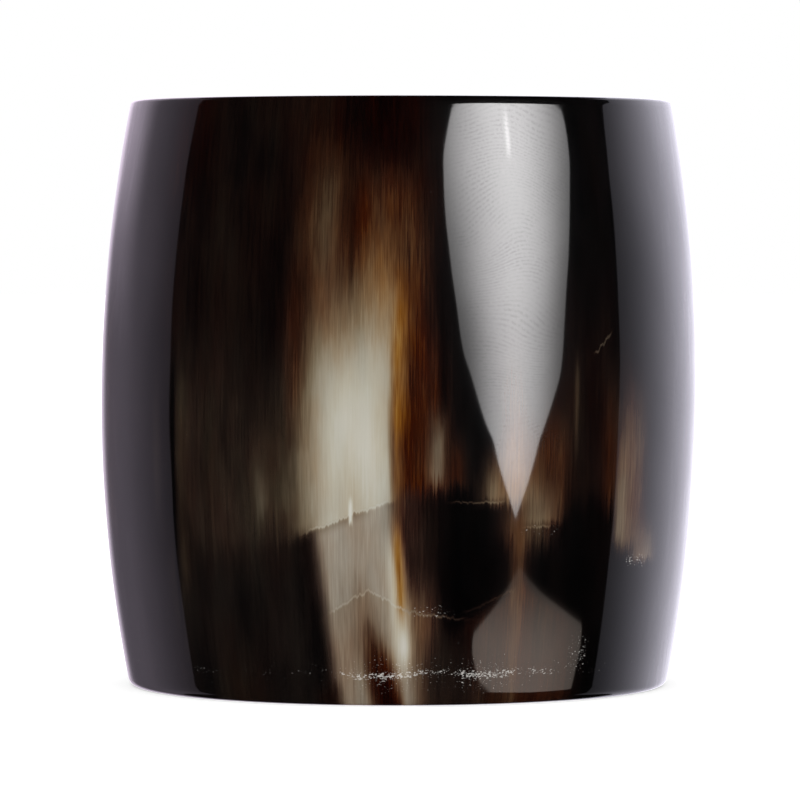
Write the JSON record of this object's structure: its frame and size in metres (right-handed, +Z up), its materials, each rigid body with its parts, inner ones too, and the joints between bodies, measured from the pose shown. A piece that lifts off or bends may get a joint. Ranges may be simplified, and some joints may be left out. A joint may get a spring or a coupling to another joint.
{
  "type": "horn drinking cup",
  "caption": "Handleless barrel-shaped drinking cup of polished natural horn, with a thin rim, a foot ring and a flat horn disc let into the foot as its floor.",
  "frame": {"origin": "centre of the foot ring, on the surface that the cup stands on", "axes": "+Z up along the cup's axis through the mouth; the side with the pale streak faces -Y; +X to the right as that side is looked at"},
  "size_m": [0.08, 0.08, 0.0784],
  "materials": {
    "horn": "polished",
    "floor_horn": "semi-gloss",
    "resin": "glossy amber"
  },
  "bodies": {
    "root": {"horn_wall": "horn", "base_disc": "floor_horn", "base_seal": "resin"}
  },
  "joints": []
}
